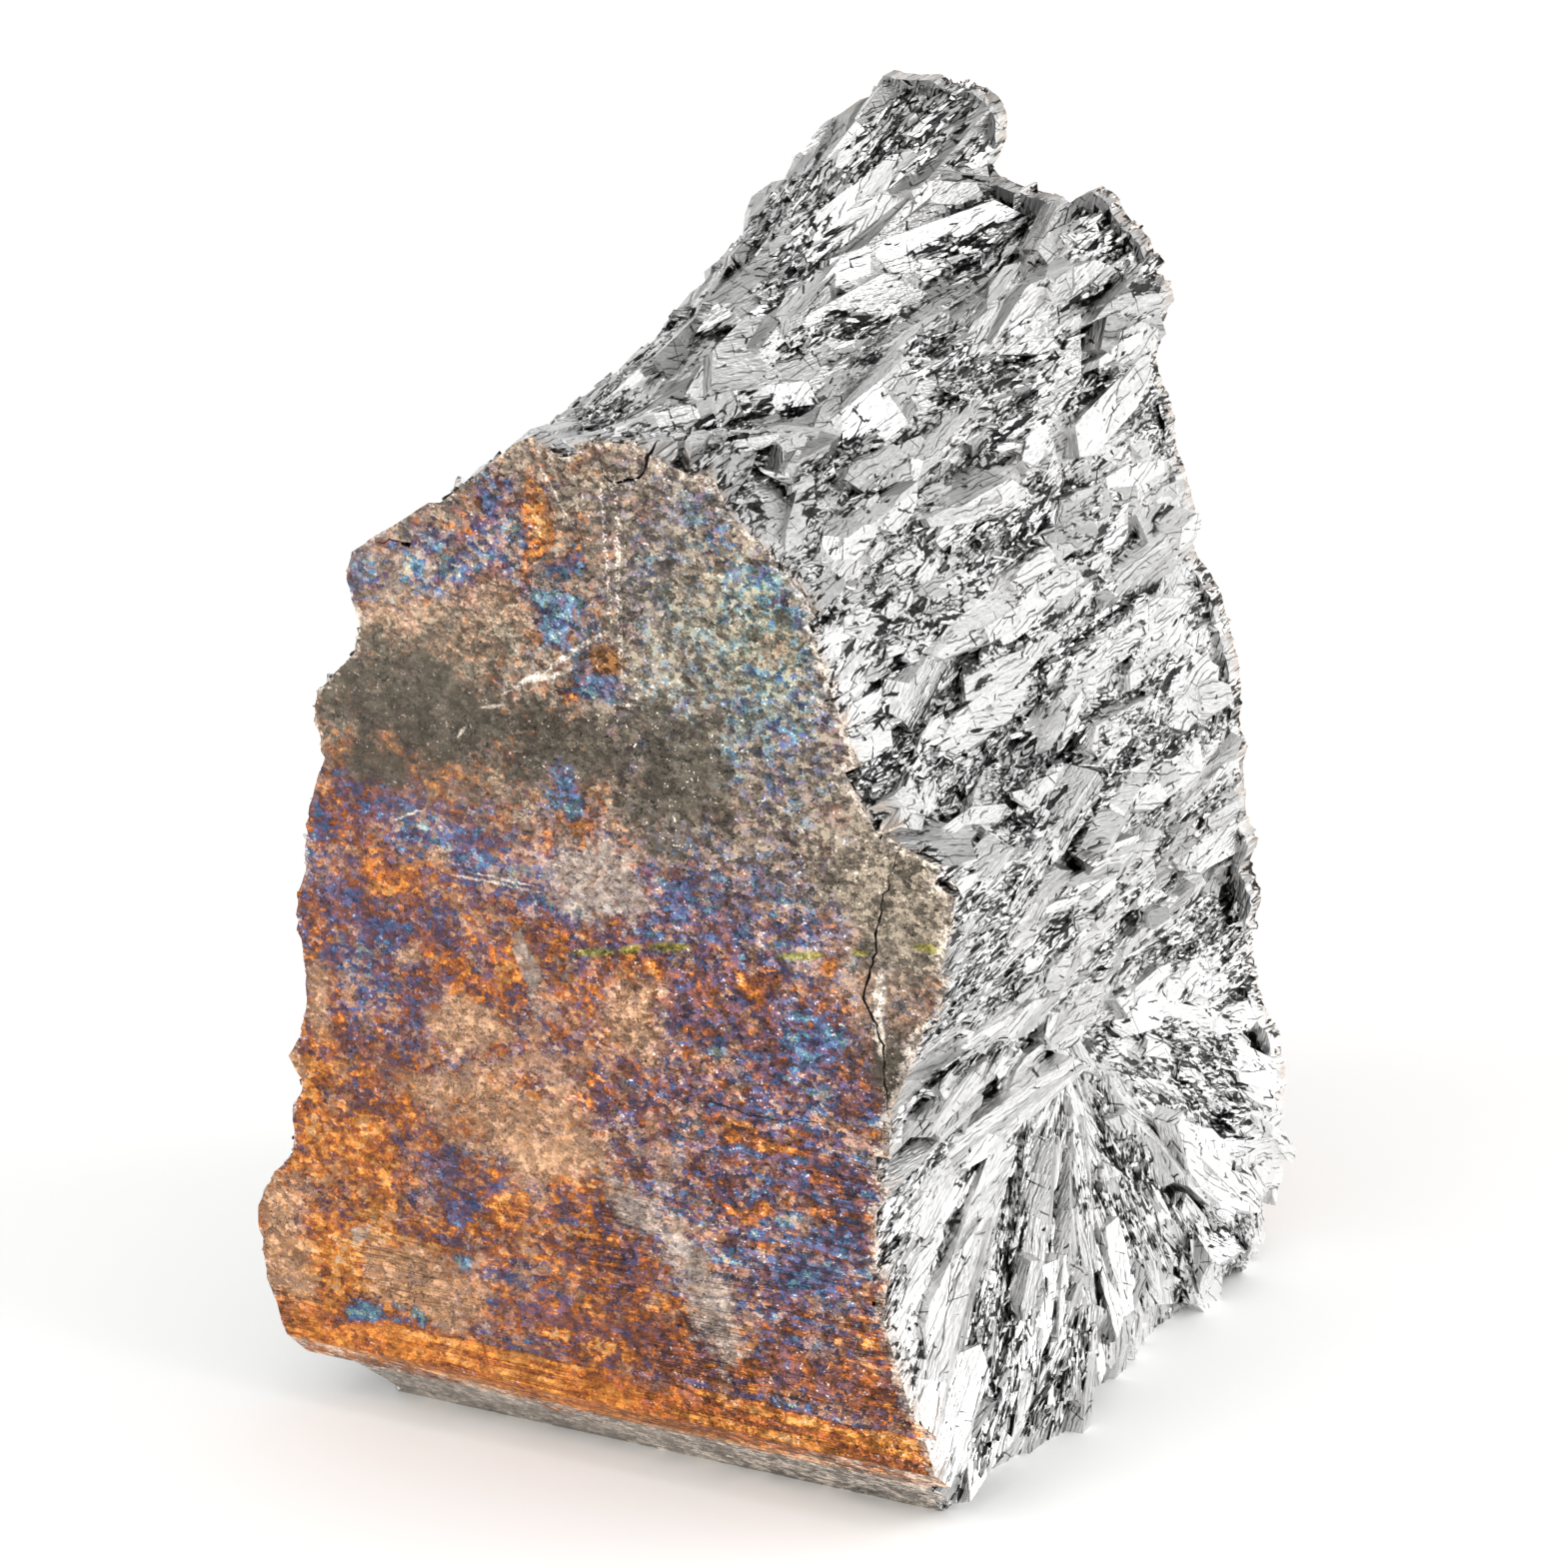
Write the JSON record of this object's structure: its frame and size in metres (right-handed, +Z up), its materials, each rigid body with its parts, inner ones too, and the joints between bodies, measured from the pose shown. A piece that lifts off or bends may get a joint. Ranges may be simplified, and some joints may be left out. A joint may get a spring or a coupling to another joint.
{
  "type": "bismuth crystal ingot piece",
  "caption": "Piece broken from a cast bismuth ingot, with flat tarnished cast faces and a bright fracture of long flat crystals.",
  "frame": {"origin": "on the flat cast base, halfway between the front and back cast faces", "axes": "+Z up from the base, -Y out of the tarnished front cast face, +X to the right along that face"},
  "size_m": [0.0612, 0.064, 0.091],
  "materials": {
    "bismuth": "bright silvery crystal fracture, with worn iridescent oxide on the cast faces"
  },
  "bodies": {
    "root": {"ingot_piece": "bismuth"}
  },
  "joints": []
}
